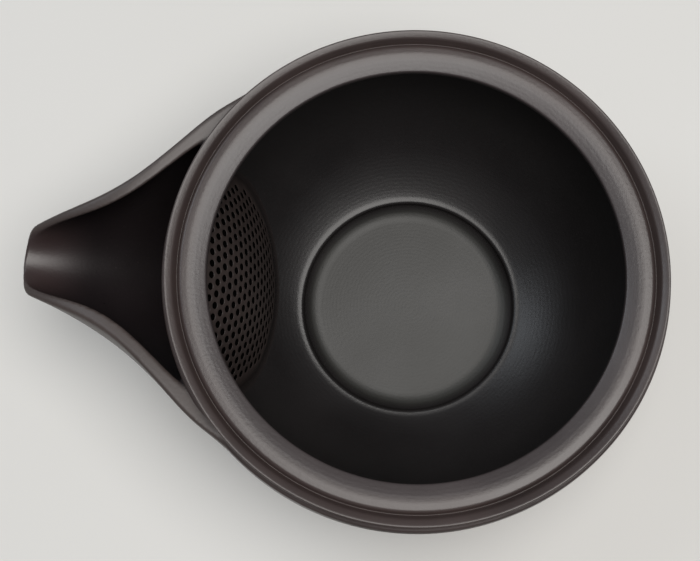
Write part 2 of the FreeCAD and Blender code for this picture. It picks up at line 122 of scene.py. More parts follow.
# Clay tones. The inner ledge's bluish grey is a painted reflection of the window light, the paler
# spout tip a painted sheen and the pinholes' near black painted shade.
HANDLED_TONE = (0.0455, 0.032, 0.0298, 1)
HANDLED_ROUGH = 0.35
HANDLED_SHEEN = 0.5
# Bluish grey on the inner ledge: a painted reflection of the window light.
LEDGE_SHEEN_TONE = (0.047, 0.0375, 0.038, 1)
FLOOR_TONE = (0.0225, 0.022, 0.0195, 1)
FLOOR_ROUGH = 0.5
# Paler pinkish brown at the channel's tip: a painted sheen.
TIP_SHEEN_TONE = (0.036, 0.023, 0.0225, 1)
TIP_ROUGH = 0.33
SPOUT_EDGE_TONE = (0.052, 0.039, 0.0355, 1)
SPOUT_EDGE_ROUGH = 0.42
# Near black in the pinholes: painted shade inside them.
PIT_SHADE_TONE = (0.003, 0.0027, 0.0025, 1)


def belly(level, inside=False):
    """The belly's radius at a height."""
    curve = BELLY_CURVE - CLAY_WALL if inside else BELLY_CURVE
    return BELLY_RADIUS - BELLY_CURVE + math.sqrt(curve**2 - (level - BELLY_LEVEL) ** 2)


def belly_level(radius, inside=False):
    """The height at which the lower belly has this radius."""
    curve = BELLY_CURVE - CLAY_WALL if inside else BELLY_CURVE
    return BELLY_LEVEL - math.sqrt(curve**2 - (radius - BELLY_RADIUS + BELLY_CURVE) ** 2)


def belly_arc(low, high, inside=False, steps=40):
    """Corners along the belly between two heights, as (radius, height, softness)."""
    return [(belly(z, inside), z, 0.0) for z in np.linspace(low, high, steps)]


def soften(corners, step=0.08, turn=3.5, reach=2.5):
    """A turned profile from (radius, height, softness) corners, each rounded over its softness."""
    points = []
    softness = []
    for (r0, z0, soft0), (r1, z1, soft1) in zip(corners, corners[1:]):
        length = math.hypot(r1 - r0, z1 - z0)
        for share in np.linspace(0, 1, max(2, int(length / step)), endpoint=False):
            points.append((r0 + (r1 - r0) * share, z0 + (z1 - z0) * share))
            near = soft0 if share * length <= soft0 else 0.0
            far = soft1 if (1 - share) * length <= soft1 else 0.0
            softness.append(max(near, far))
    points.append(corners[-1][:2])
    softness.append(0.0)
    points = np.array(points)
    gaps = np.linalg.norm(np.diff(points, axis=0), axis=1)
    along = np.concatenate([[0.0], np.cumsum(gaps)])
    smooth = points.copy()
    for index, soft in enumerate(softness):
        if soft > 0:
            window = np.linspace(along[index] - soft, along[index] + soft, 41)
            for axis in (0, 1):
                smooth[index, axis] = np.interp(window, along, points[:, axis]).mean()
    smooth[:, 0] = np.maximum(smooth[:, 0], 0.0)
    kept = [smooth[0]]
    heading = None
    for index in range(1, len(smooth) - 1):
        move = smooth[index + 1] - smooth[index]
        if np.linalg.norm(move) < 1e-6:
            continue
        angle = math.degrees(math.atan2(move[1], move[0]))
        if heading is None:
            heading = angle
        bend = abs((angle - heading + 180) % 360 - 180)
        if bend > turn or np.linalg.norm(smooth[index] - kept[-1]) > reach:
            kept.append(smooth[index])
            heading = angle
    kept.append(smooth[-1])
    return kept


def new_object(name, verts, faces, body):
    """A smooth mesh object from millimetre vertices, riding on a body."""
    mesh = bpy.data.meshes.new(name)
    mesh.from_pydata([Vector(v) * MM for v in verts], [], faces)
    mesh.validate()
    mesh.polygons.foreach_set("use_smooth", [True] * len(mesh.polygons))
    obj = bpy.data.objects.new(name, mesh)
    bpy.context.scene.collection.objects.link(obj)
    tidy_normals(mesh)
    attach(obj, body)
    return obj


def tidy_normals(mesh):
    """Joins doubled corners and turns the faces outwards."""
    work = bmesh.new()
    work.from_mesh(mesh)
    bmesh.ops.remove_doubles(work, verts=work.verts, dist=1e-7)
    bmesh.ops.recalc_face_normals(work, faces=work.faces)
    work.to_mesh(mesh)
    work.free()


def turned(name, profile, body, centre=(0.0, 0.0), base=0.0):
    """A closed turned piece from a profile that starts and ends on the axis."""
    verts = []
    rings = []
    for radius, level in profile:
        if radius < 1e-6:
            rings.append([len(verts)])
            verts.append((centre[0], centre[1], base + level))
            continue
        ring = []
        for step in range(TURN_STEPS):
            angle = 2 * math.pi * step / TURN_STEPS
            ring.append(len(verts))
            x = centre[0] + radius * math.cos(angle)
            y = centre[1] + radius * math.sin(angle)
            verts.append((x, y, base + level))
        rings.append(ring)
    faces = []
    for low, high in zip(rings, rings[1:]):
        for step in range(TURN_STEPS):
            following = (step + 1) % TURN_STEPS
            if len(low) == 1 and len(high) == 1:
                break
            if len(low) == 1:
                faces.append((low[0], high[following], high[step]))
            elif len(high) == 1:
                faces.append((low[step], low[following], high[0]))
            else:
                faces.append((low[step], low[following], high[following], high[step]))
    return new_object(name, verts, faces, body)


def cut(obj, tool):
    """Cuts one mesh object from another and drops the tool."""
    modifier = obj.modifiers.new("cut", "BOOLEAN")
    modifier.operation = "DIFFERENCE"
    modifier.solver = "EXACT"
    modifier.object = tool
    bpy.context.view_layer.update()
    graph = bpy.context.evaluated_depsgraph_get()
    mesh = bpy.data.meshes.new_from_object(obj.evaluated_get(graph))
    obj.modifiers.clear()
    obj.data = mesh
    bpy.data.objects.remove(tool)


def bowl_outline():
    """The bowl's outside as corners, from the axis under the foot to the lip's top edge."""
    foot_inner = FOOT_RADIUS - FOOT_LAND
    foot_top = belly_level(FOOT_RADIUS)
    corners = [
        (0.0, FOOT_RECESS, 0.0),
        (foot_inner, FOOT_RECESS, 0.4),
        (foot_inner, 0.0, 0.45),
        (FOOT_RADIUS, 0.0, 0.7),
        (FOOT_RADIUS, foot_top, 0.8),
    ]
    corners += belly_arc(foot_top + 1.0, SHOULDER - 0.3)
    corners += [
        (belly(SHOULDER), SHOULDER, 0.35),
        (LIP_OUTER, LIP_FOOT, 0.2),
        (LIP_OUTER, LIP_TOP, 0.35),
    ]
    return corners


def bowl_profile():
    """The bowl's whole section: the outside, the rim, the inside wall, the crest and the floor."""
    crest = belly_level(SHELF_RADIUS, inside=True) - CREST_DROP
    floor = crest - FLOOR_DROP
    crest_end = CREST_RADIUS + CREST_WIDTH
    corners = bowl_outline()
    corners += [
        (LIP_EDGE, LIP_TOP, 0.3),
        (*LIP_INNER, 0.4),
        (*GROOVE, 0.25),
        (*LEDGE[2], 0.5),
        (*LEDGE[1], 0.4),
        (*LEDGE[0], 0.35),
        (MOUTH_RADIUS, RIM_LEVEL, 0.32),
        (MOUTH_RADIUS, 43.2, 0.4),
        (belly(40.0, inside=True), 40.0, 0.8),
    ]
    corners += belly_arc(39.0, belly_level(crest_end + 0.7, inside=True), inside=True, steps=70)
    corners += [
        (crest_end, crest + 0.1, 0.45),
        (CREST_RADIUS, crest, 0.5),
        (CREST_RADIUS - FLOOR_INSET, floor, 2.5),
        (0.0, floor, 0.0),
    ]
    return soften(corners)


def prism_faces(count):
    """The faces between two loops of corners, and over both ends."""
    faces = [tuple(range(count)), tuple(range(2 * count - 1, count - 1, -1))]
    for step in range(count):
        following = (step + 1) % count
        faces.append((step, following, count + following, count + step))
    return faces


def opening_tool():
    """A prism along -X, the shape of the opening in the bowl's wall."""
    outline = []
    for sign_y, z, first in (
        (1, OPENING_TOP, 0),
        (-1, OPENING_TOP, 90),
        (-1, OPENING_BOTTOM, 180),
        (1, OPENING_BOTTOM, 270),
    ):
        toward = 1 if z == OPENING_BOTTOM else -1
        middle_y = sign_y * (OPENING_HALF - OPENING_CORNER)
        middle_z = z + toward * OPENING_CORNER
        for degrees in np.linspace(first, first + 90, 13):
            angle = math.radians(degrees)
            y = middle_y + OPENING_CORNER * math.cos(angle)
            outline.append((y, middle_z + OPENING_CORNER * math.sin(angle)))
    verts = [(x, y, z) for x in (-60.0, -25.0) for y, z in outline]
    return new_object("opening_tool", verts, prism_faces(len(outline)), "pot")


def natural_curve(values):
    """A smooth function of 0 to 1 through evenly spaced values."""
    values = np.array(values)
    count = len(values)
    matrix = np.eye(count)
    right = np.zeros(count)
    for row in range(1, count - 1):
        matrix[row, row - 1 : row + 2] = (1, 4, 1)
        right[row] = 6 * (values[row - 1] - 2 * values[row] + values[row + 1])
    bends = np.linalg.solve(matrix, right)

    def at(share):
        place = np.clip(share, 0.0, 1.0) * (count - 1)
        index = np.minimum(place.astype(int), count - 2)
        far = place - index
        near = 1 - far
        straight = values[index] * near + values[index + 1] * far
        curve = (near**3 - near) * bends[index] + (far**3 - far) * bends[index + 1]
        return straight + curve / 6

    return at


EDGE_HALF = natural_curve(EDGE_HALF_WIDTHS)
EDGE_DROP = natural_curve(EDGE_DROPS)
KEEL_DROP = natural_curve(KEEL_DROPS)


def smooth_max(first, second, radius):
    """The larger of two fields, with the edge between them rounded."""
    share = np.clip(0.5 + 0.5 * (first - second) / radius, 0.0, 1.0)
    return second * (1 - share) + first * share + radius * share * (1 - share)


def smooth_min(first, second, radius):
    return -smooth_max(-first, -second, radius)


def chute_fields(x, y, z):
    """How far a point is outside the open chute's sides, above its edge and out in its channel."""
    share = (-x - SPOUT_ROOT) / (SPOUT_TIP - SPOUT_ROOT)
    half = EDGE_HALF(share)
    edge = RIM_LEVEL - EDGE_DROP(share)
    keel = RIM_LEVEL - KEEL_DROP(share)
    wall = SPOUT_ROOT_WALL + (SPOUT_TIP_WALL - SPOUT_ROOT_WALL) * np.clip(share, 0.0, 1.0)
    below = edge - keel
    curve = (half**2 + below**2) / (2 * below)
    inward = curve - wall / 2 - np.hypot(y, z - keel - curve)
    lean = 1.0 + SWELL_LEAN - SWELL_LEAN * np.clip(y / SWELL_LEAN_REACH, -1.0, 1.0)
    swell = EDGE_SWELL * lean * np.clip(1.0 - share, 0.0, SWELL_MOST)
    swell *= np.clip((share - SWELL_START) / SWELL_RUN, 0.0, 1.0)
    swell *= np.clip(1 + (z - edge) / SWELL_DEPTH, 0.0, 1.0) ** 2
    channel = inward - wall / 2 - swell
    top = z - edge + EDGE_SLOPE * (wall / 2 + inward)
    return np.maximum(channel, -inward - wall / 2), top, channel


def bowl_field(x, y, z):
    """The distance outside the bowl's belly and lip.

    The lip's part has no lower end, so below it the belly counts as wide as the lip. That leaves a
    gap at the spout's root, a known fault.
    """
    out = np.hypot(x, y)
    round_belly = np.hypot(out - BELLY_RADIUS + BELLY_CURVE, z - BELLY_LEVEL) - BELLY_CURVE
    round_belly = smooth_max(round_belly, z - SHOULDER - 0.1, 0.4)
    lip = np.maximum(out - LIP_OUTER, z - LIP_TOP + 0.3)
    return np.minimum(round_belly, lip)


def opening_field(y, z):
    """Less than 0 in the wall opening's outline."""
    level = (OPENING_TOP + OPENING_BOTTOM) / 2
    half_height = (OPENING_TOP - OPENING_BOTTOM) / 2
    side = np.abs(y) - OPENING_HALF + OPENING_CORNER
    up = np.abs(z - level) - half_height + OPENING_CORNER
    corner = np.hypot(np.maximum(side, 0.0), np.maximum(up, 0.0))
    return corner + np.minimum(np.maximum(side, up), 0.0) - OPENING_CORNER


def spout_field(x, y, z):
    """Less than 0 in the finished spout: the chute and its slip seam on the bowl."""
    reach = 0.2
    here = chute_fields(x, y, z)
    ahead = chute_fields(x + reach, y, z)
    behind = chute_fields(x - reach, y, z)
    sides, top = (
        value / np.sqrt(1 + ((after - before) / (2 * reach)) ** 2)
        for value, after, before in zip(here[:2], ahead, behind)
    )
    bowl = bowl_field(x, y, z)
    sunk = SKIN_SUNK + SKIN_SUNK_AT_LIP * np.clip(z - SHOULDER + 1.0, 0.0, 1.0)
    seam = SEAM_OUTSIDE - SEAM_LOSS * np.clip((here[2] + SEAM_START) / SEAM_RUN, 0.0, 1.0)
    clay_field = smooth_min(sides, bowl + sunk, seam)
    clay_field = np.maximum(clay_field, sides - seam - SEAM_REACH)
    clay_field = smooth_max(clay_field, top, EDGE_ROUND)
    clay_field = np.maximum(clay_field, -(bowl + SKIN_DEPTH))
    mouth = np.maximum(np.hypot(x, y) - LIP_OUTER + SKIN_INSIDE_LIP, LIP_FOOT - 1.0 - z)
    clay_field = np.maximum(clay_field, -mouth)
    way_in = np.maximum(opening_field(y, z), bowl - OPENING_REACH)
    clay_field = np.maximum(clay_field, -np.maximum(way_in, CHANNEL_CLEAR - here[2]))
    centre = SPOUT_TIP - SPOUT_FRONT_CURVE
    front = np.hypot(x + centre, y) - SPOUT_FRONT_CURVE
    front = np.where(x < -centre, front, -SPOUT_FRONT_CURVE)
    return smooth_max(clay_field, front, FRONT_ROUND)


def surface_net(field, low, high, pitch):
    """The surface where a field is 0, as vertices that lie on it and faces of four."""
    axes = [np.arange(a, b + pitch, pitch) for a, b in zip(low, high)]
    grid = field(*np.meshgrid(*axes, indexing="ij"))
    shape = [n - 1 for n in grid.shape]
    offsets = [(i, j, k) for i in (0, 1) for j in (0, 1) for k in (0, 1)]

    def corner(offset):
        i, j, k = offset
        return grid[i : i + shape[0], j : j + shape[1], k : k + shape[2]]

    signs = sum((corner(offset) < 0).astype(int) for offset in offsets)
    cells = np.argwhere((signs > 0) & (signs < 8))
    total = np.zeros((len(cells), 3))
    crossings = np.zeros(len(cells))
    for start in offsets:
        for axis in range(3):
            if start[axis]:
                continue
            end = list(start)
            end[axis] = 1
            a = corner(start)[tuple(cells.T)]
            b = corner(end)[tuple(cells.T)]
            crosses = (a < 0) != (b < 0)
            share = np.where(crosses, a / np.where(crosses, a - b, 1.0), 0.0)
            spot = np.array(start, float)[None, :].repeat(len(cells), 0)
            spot[:, axis] += share
            total += spot * crosses[:, None]
            crossings += crosses
    points = np.array(low) + (cells + total / crossings[:, None]) * pitch
    step = pitch * 0.25
    for _ in range(4):
        value = field(*points.T)
        slope = np.zeros_like(points)
        for axis in range(3):
            shift = np.zeros(3)
            shift[axis] = step
            ahead = field(*(points + shift).T)
            slope[:, axis] = (ahead - field(*(points - shift).T)) / (2 * step)
        size = np.maximum((slope**2).sum(axis=1), 0.05)
        move = -(value / size)[:, None] * slope
        length = np.linalg.norm(move, axis=1, keepdims=True)
        points += move * np.minimum(1.0, 0.4 * pitch / np.maximum(length, 1e-9))
    numbers = -np.ones(shape, int)
    numbers[tuple(cells.T)] = np.arange(len(cells))
    faces = []
    for axis in range(3):
        others = [n for n in range(3) if n != axis]
        ends = [slice(0, n) for n in grid.shape]
        starts = list(ends)
        ends[axis] = slice(1, None)
        starts[axis] = slice(0, -1)
        a = grid[tuple(starts)] < 0
        b = grid[tuple(ends)] < 0
        edges = np.argwhere(a != b)
        inside = (edges[:, others] > 0) & (edges[:, others] < np.array(shape)[others])
        edges = edges[inside.all(axis=1)]
        ring = []
        for du, dv in ((0, 0), (1, 0), (1, 1), (0, 1)):
            place = edges.copy()
            place[:, others[0]] -= du
            place[:, others[1]] -= dv
            ring.append(numbers[tuple(place.T)])
        quads = np.stack(ring, axis=1)
        faces += quads.tolist()
    return points, faces


def spout_mesh():
    """The spout, with each point marked 1 on its outside and edge and 0 in its channel."""
    points, faces = surface_net(spout_field, SPOUT_NET_LOW, SPOUT_NET_HIGH, SPOUT_NET_PITCH)
    spout = new_object("spout_clay", points.tolist(), faces, "pot")
    spots = np.array([vertex.co for vertex in spout.data.vertices]) / MM
    channel = chute_fields(*spots.T)[2]
    marks = np.clip((-0.08 - channel) / 0.3, 0.0, 1.0)
    outside = spout.data.attributes.new("outside", "FLOAT", "POINT")
    outside.data.foreach_set("value", marks.astype(np.float32))
    return spout


def dome_point(direction, radius):
    """A point on the strainer from a unit direction, turned with the strainer."""
    x = -DOME_REACH + direction[0] * radius
    y = direction[1] * radius
    z = DOME_LEVEL + direction[2] * radius
    turn = math.radians(STRAINER_TURN)
    return (
        x * math.cos(turn) - y * math.sin(turn),
        x * math.sin(turn) + y * math.cos(turn),
        z,
    )


def dome_direction(across, up):
    """The direction of a place on the dome, from lengths along it."""
    turn = math.hypot(across, up) / DOME_RADIUS
    bearing = math.atan2(up, across)
    side = math.sin(turn) * math.cos(bearing)
    lift = math.sin(turn) * math.sin(bearing)
    ahead = math.cos(turn)
    middle = math.radians(HOLE_FIELD_RISE)
    return (
        ahead * math.cos(middle) - lift * math.sin(middle),
        side,
        ahead * math.sin(middle) + lift * math.cos(middle),
    )


def dome_room(across, up, radius=DOME_RADIUS - DOME_WALL / 2):
    """How far a place on the dome is from the bowl's wall, and its height."""
    direction = dome_direction(across, up)
    x = -DOME_REACH + direction[0] * radius
    y = direction[1] * radius
    z = DOME_LEVEL + direction[2] * radius
    curve = BELLY_CURVE - CLAY_WALL
    rise = z - BELLY_LEVEL
    if abs(rise) >= curve:
        return -1.0, z
    wall = BELLY_RADIUS - BELLY_CURVE + math.sqrt(curve**2 - rise**2)
    slope = math.sqrt(curve**2 - rise**2) / curve
    return (wall - math.hypot(x, y)) * slope, z


def hole_places():
    """The middles of the strainer's holes, as lengths along the dome."""
    row_step = HOLE_PITCH * math.sin(math.radians(60))
    margin = HOLE_MARGIN + HOLE_RADIUS
    places = []
    rows = int(DOME_RADIUS / row_step)
    columns = int(DOME_RADIUS / HOLE_PITCH)
    for row in range(-rows, rows + 1):
        for column in range(-columns, columns + 1):
            across = (column + 0.5 * (row % 2)) * HOLE_PITCH
            up = row * row_step
            if math.hypot(across, up) / DOME_RADIUS > math.pi / 4:
                continue
            room, level = dome_room(across, up)
            if room > margin and level <= DOME_TOP - margin:
                places.append((across, up))
    return places


def dome_edge(bearing, sunk=0.35, radius=DOME_RADIUS - DOME_WALL / 2):
    """The dome's outline in one bearing, sunk a little into the bowl's wall."""
    low, high = 0.0, DOME_RADIUS * 0.75
    for _ in range(40):
        middle = (low + high) / 2
        across = middle * math.cos(bearing)
        up = middle * math.sin(bearing)
        room, level = dome_room(across, up, radius)
        if room > -sunk and level < DOME_TOP:
            low = middle
        else:
            high = middle
    return (low * math.cos(bearing), low * math.sin(bearing))


def strainer_mesh():
    """The perforated dome: a plane triangulation round the holes, carried onto both spheres."""
    places = hole_places()
    points = []
    edges = []
    faces = []
    sides = 20
    edge_steps = 220
    for step in range(edge_steps):
        points.append(Vector(dome_edge(2 * math.pi * step / edge_steps)))
        edges.append((step, (step + 1) % edge_steps))
    rims = []
    for across, up in places:
        for radius in (HOLE_RADIUS, HOLE_RADIUS + 0.16):
            first = len(points)
            for step in range(sides):
                angle = 2 * math.pi * step / sides
                spot = (across + radius * math.cos(angle), up + radius * math.sin(angle))
                points.append(Vector(spot))
                edges.append((first + step, first + (step + 1) % sides))
        rims.append(len(points) - 2 * sides)
    verts, _, triangles, _, _, _ = geometry.delaunay_2d_cdt(points, edges, [], 1, 1e-5)
    place_array = np.array(places)
    outside = []
    for spot in verts:
        gaps = np.hypot(place_array[:, 0] - spot.x, place_array[:, 1] - spot.y)
        outside.append(gaps.min())
    kept = []
    for triangle in triangles:
        middle = sum((verts[i] for i in triangle), Vector((0, 0))) / len(triangle)
        gaps = np.hypot(place_array[:, 0] - middle.x, place_array[:, 1] - middle.y)
        if gaps.min() > HOLE_RADIUS * 0.98:
            kept.append(tuple(triangle))
    mesh_verts = []
    for radius, sink in ((DOME_RADIUS, 0.05), (DOME_RADIUS - DOME_WALL, -0.05)):
        for spot, gap in zip(verts, outside):
            dip = sink if gap < HOLE_RADIUS + 0.05 else 0.0
            mesh_verts.append(dome_point(dome_direction(spot.x, spot.y), radius - dip))
    count = len(verts)
    for triangle in kept:
        faces.append(triangle)
        faces.append(tuple(count + i for i in reversed(triangle)))
    uses = {}
    for triangle in kept:
        for a, b in zip(triangle, triangle[1:] + triangle[:1]):
            uses.setdefault(frozenset((a, b)), []).append((a, b))
    for pairs in uses.values():
        if len(pairs) == 1:
            a, b = pairs[0]
            faces.append((b, a, count + a, count + b))
    return new_object("strainer_clay", mesh_verts, faces, "pot")


def strainer_seam():
    """The slip fillet where the dome meets the bowl's wall."""
    steps = 240
    width = 1.25
    spots = []
    for step in range(steps):
        bearing = math.pi / 2 + 2 * math.pi * step / steps
        spot = dome_edge(bearing, 0.0, DOME_RADIUS)
        spots.append(Vector(dome_point(dome_direction(*spot), DOME_RADIUS)))
    centre = Vector(dome_point((0.0, 0.0, 0.0), 0.0))
    curve = BELLY_CURVE - CLAY_WALL
    verts = []
    for before, spot, after in zip(spots[-1:] + spots[:-1], spots, spots[1:] + spots[:1]):
        room = DOME_TOP - 0.2 - spot.z
        if room <= 0:
            continue
        run = (after - before).normalized()
        out = math.hypot(spot.x, spot.y)
        lean = (out - BELLY_RADIUS + BELLY_CURVE) / curve
        wall_face = -Vector((spot.x / out * lean, spot.y / out * lean, (spot.z - BELLY_LEVEL) / curve))
        dome_face = (spot - centre).normalized()
        reach = width * min(1.0, room / 2 + 0.1)
        on_wall = run.cross(wall_face).normalized()
        on_wall *= reach if on_wall.dot(dome_face) > 0 else -reach
        on_dome = run.cross(dome_face).normalized()
        on_dome *= reach if on_dome.dot(wall_face) > 0 else -reach
        first = spot + on_wall - wall_face * 0.05
        last = spot + on_dome - dome_face * 0.05
        for share in np.linspace(0, 1, 7):
            verts.append(first * (1 - share) ** 2 + spot * 2 * share * (1 - share) + last * share**2)
        verts.append(spot - (wall_face + dome_face) * 0.3)
    ring = 8
    count = len(verts) // ring
    faces = [tuple(range(ring)), tuple(range(len(verts) - 1, len(verts) - 1 - ring, -1))]
    for step in range(count - 1):
        for index in range(ring):
            near = step * ring + index
            beside = step * ring + (index + 1) % ring
            faces.append((near, beside, beside + ring, near + ring))
    return new_object("strainer_seam", [tuple(v) for v in verts], faces, "pot")


def lid_profile():
    """The lid's section, from its hollow over the flange and the edge to the crown."""
    seat = 4.0
    crown_curve = 260.0
    pad = 8.0
    crown = 9.2
    edge_radius = 43.55
    edge_top = seat + 1.9
    flange_outer = 37.1
    flange_inner = 34.9
    chord = math.hypot(edge_radius - pad, crown - edge_top)
    middle = ((edge_radius + pad) / 2, (crown + edge_top) / 2)
    height = math.sqrt(crown_curve**2 - (chord / 2) ** 2)
    along = ((pad - edge_radius) / chord, (crown - edge_top) / chord)
    centre = (middle[0] - along[1] * height, middle[1] + along[0] * height)
    start = math.atan2(edge_top - centre[1], edge_radius - centre[0])
    end = math.atan2(crown - centre[1], pad - centre[0])
    corners = [
        (0.0, 6.0, 0.0),
        (flange_inner, 4.3, 0.8),
        (flange_inner, 0.0, 0.6),
        (flange_outer, 0.0, 0.6),
        (flange_outer, seat, 0.5),
        (edge_radius, seat, 0.5),
        (edge_radius, edge_top, 0.8),
    ]
    for angle in np.linspace(start, end, 30)[1:]:
        r = centre[0] + crown_curve * math.cos(angle)
        z = centre[1] + crown_curve * math.sin(angle)
        corners.append((r, z, 0.0))
    corners.append((0.0, crown, 0.0))
    return soften(corners)


def arc_corners(start, finish, radius, turns_left, steps=14):
    """Corners along an arc between two profile points."""
    chord = math.dist(start, finish)
    middle = ((start[0] + finish[0]) / 2, (start[1] + finish[1]) / 2)
    along = ((finish[0] - start[0]) / chord, (finish[1] - start[1]) / chord)
    height = math.sqrt(radius**2 - (chord / 2) ** 2) * (1 if turns_left else -1)
    centre = (middle[0] - along[1] * height, middle[1] + along[0] * height)
    first = math.atan2(start[1] - centre[1], start[0] - centre[0])
    last = math.atan2(finish[1] - centre[1], finish[0] - centre[0])
    sweep = (last - first + math.pi) % (2 * math.pi) - math.pi
    corners = []
    for share in np.linspace(0, 1, steps):
        angle = first + sweep * share
        r = centre[0] + radius * math.cos(angle)
        corners.append((r, centre[1] + radius * math.sin(angle), 0.0))
    return corners


def knob_profile():
    """The knob's section: a waisted stem under a round button."""
    corners = [(0.0, 0.0, 0.0)]
    corners += arc_corners((6.4, 0.0), (5.0, 3.4), 7.0, False)
    corners += arc_corners((5.0, 3.4), (8.0, 7.4), 7.0, False)[1:]
    corners += arc_corners((8.0, 7.4), (4.4, 10.2), 6.4, True)[1:]
    softened = [(r, z, 0.5 if index in (14, 27) else 0.0) for index, (r, z, _) in enumerate(corners)]
    softened[-1] = (softened[-1][0], softened[-1][1], 0.8)
    softened.append((0.0, 10.2, 0.0))
    return soften(softened)


def vent_tool():
    """A pin through the lid, the size of its steam vent."""
    verts = []
    steps = 32
    for level in (-2.0, 14.0):
        for step in range(steps):
            angle = 2 * math.pi * step / steps
            x = LID_PLACE[0] + VENT_PLACE + VENT_RADIUS * math.cos(angle)
            verts.append((x, LID_PLACE[1] + VENT_RADIUS * math.sin(angle), level))
    return new_object("vent_tool", verts, prism_faces(steps), "lid")


def knob_seam():
    """The slip seam round the knob's foot."""
    corners = [
        (6.2, 9.1),
        (7.9, 9.19),
        (7.2, 9.28),
        (6.75, 9.5),
        (6.45, 9.85),
        (6.3, 10.35),
        (6.1, 10.3),
    ]
    verts = []
    for step in range(TURN_STEPS):
        angle = 2 * math.pi * step / TURN_STEPS
        for radius, level in corners:
            x = LID_PLACE[0] + radius * math.cos(angle)
            verts.append((x, LID_PLACE[1] + radius * math.sin(angle), level))
    ring = len(corners)
    faces = []
    for step in range(TURN_STEPS):
        following = (step + 1) % TURN_STEPS
        for index in range(ring):
            after = (index + 1) % ring
            faces.append(
                (
                    step * ring + index,
                    step * ring + after,
                    following * ring + after,
                    following * ring + index,
                )
            )
    return new_object("knob_seam", verts, faces, "lid")


def add_node(tree, kind, inputs, **settings):
    """A shader node. inputs gives a number, a colour or another node's output for each input."""
    node = tree.nodes.new(kind)
    for name, value in settings.items():
        setattr(node, name, value)
    for name, value in inputs.items():
        if isinstance(value, bpy.types.NodeSocket):
            tree.links.new(value, node.inputs[name])
        else:
            node.inputs[name].default_value = value
    return node


def calculate(tree, operation, *values):
    return add_node(tree, "ShaderNodeMath", dict(enumerate(values)), operation=operation).outputs[0]


def ramp(tree, value, start, end, low=0.0, high=1.0):
    """low up to start, high from end on, and a smooth way between them."""
    inputs = {"Value": value, "From Min": start, "From Max": end, "To Min": low, "To Max": high}
    node = add_node(tree, "ShaderNodeMapRange", inputs, interpolation_type="SMOOTHSTEP")
    return node.outputs["Result"]


def blend(tree, share, first, second, data_type):
    """first where share is 0 and second where it is 1."""
    inputs = {"Factor": share, "A": first, "B": second}
    return add_node(tree, "ShaderNodeMix", inputs, data_type=data_type).outputs["Result"]


def blend_colour(tree, share, first, second):
    return blend(tree, share, first, second, "RGBA")


def blend_value(tree, share, first, second):
    return blend(tree, share, first, second, "FLOAT")


def bowl_zones(tree, place):
    """The handled outside and rim, the lid's seat tinted bluish grey as a painted reflection of the
    window light, and the floor, as (mask, colour, roughness).
    """
    parts = add_node(tree, "ShaderNodeSeparateXYZ", {"Vector": place}).outputs
    squares = [calculate(tree, "MULTIPLY", parts[axis], parts[axis]) for axis in ("X", "Y")]
    out = calculate(tree, "SQRT", calculate(tree, "ADD", *squares))
    across = calculate(tree, "SUBTRACT", out, (BELLY_RADIUS - BELLY_CURVE) * MM)
    rise = calculate(tree, "SUBTRACT", parts["Z"], BELLY_LEVEL * MM)
    squares = [calculate(tree, "MULTIPLY", value, value) for value in (across, rise)]
    bend = calculate(tree, "SQRT", calculate(tree, "ADD", *squares))
    middle = (BELLY_CURVE - CLAY_WALL / 2) * MM
    outer = ramp(tree, bend, middle - 0.0004, middle + 0.0004)
    rim = ramp(tree, parts["Z"], 0.0434, 0.0442)
    handled = calculate(tree, "MAXIMUM", outer, rim)
    floor = ramp(tree, out, 0.0205, 0.0222, 1.0, 0.0)
    above_foot = ramp(tree, parts["Z"], 0.0026, 0.0031)
    floor = calculate(tree, "MULTIPLY", floor, above_foot)
    # The inner ledge, where the window light's reflection is painted.
    seat = calculate(tree, "MULTIPLY", rim, ramp(tree, out, 0.0398, 0.0414, 1.0, 0.0))
    return (
        (handled, HANDLED_TONE, HANDLED_ROUGH),
        (seat, LEDGE_SHEEN_TONE, HANDLED_ROUGH),
        (floor, FLOOR_TONE, FLOOR_ROUGH),
    )


def spout_zones(tree, place):
    """The channel's tip, paler as a painted sheen, and the handled outside and edge."""
    parts = add_node(tree, "ShaderNodeSeparateXYZ", {"Vector": place}).outputs
    # The tip, where the sheen is painted into the colour.
    tip = ramp(tree, parts["X"], -0.0745, -0.062, 1.0, 0.0)
    mark = tree.nodes.new("ShaderNodeAttribute")
    mark.attribute_name = "outside"
    return (
        (tip, TIP_SHEEN_TONE, TIP_ROUGH),
        (mark.outputs["Fac"], SPOUT_EDGE_TONE, SPOUT_EDGE_ROUGH),
    )


